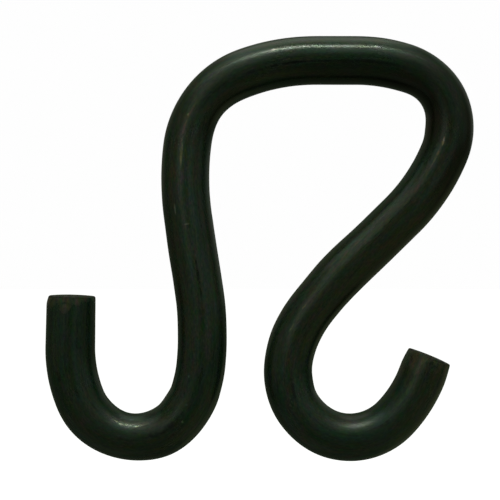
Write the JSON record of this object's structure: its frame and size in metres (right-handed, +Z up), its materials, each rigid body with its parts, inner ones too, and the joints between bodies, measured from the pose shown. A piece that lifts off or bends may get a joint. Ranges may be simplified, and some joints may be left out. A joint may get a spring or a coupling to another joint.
{
  "type": "basket hook",
  "caption": "Round steel bar bent flat into a hanger: a rounded crown that goes over a rail or branch, with upturned hooks below it for a basket's handle.",
  "frame": {"origin": "middle of the underside of the crown's flat, where the hook sits on what it hangs from", "axes": "+Z up as the hook hangs, +X along the crown towards the slanting leg, the bar lies in the XZ plane"},
  "size_m": [0.0892, 0.01, 0.0885],
  "materials": {
    "hook_rod": "black oxide, oiled, satin, with fine draw lines along the bar"
  },
  "bodies": {
    "root": {"hook_rod": "hook_rod"}
  },
  "joints": []
}
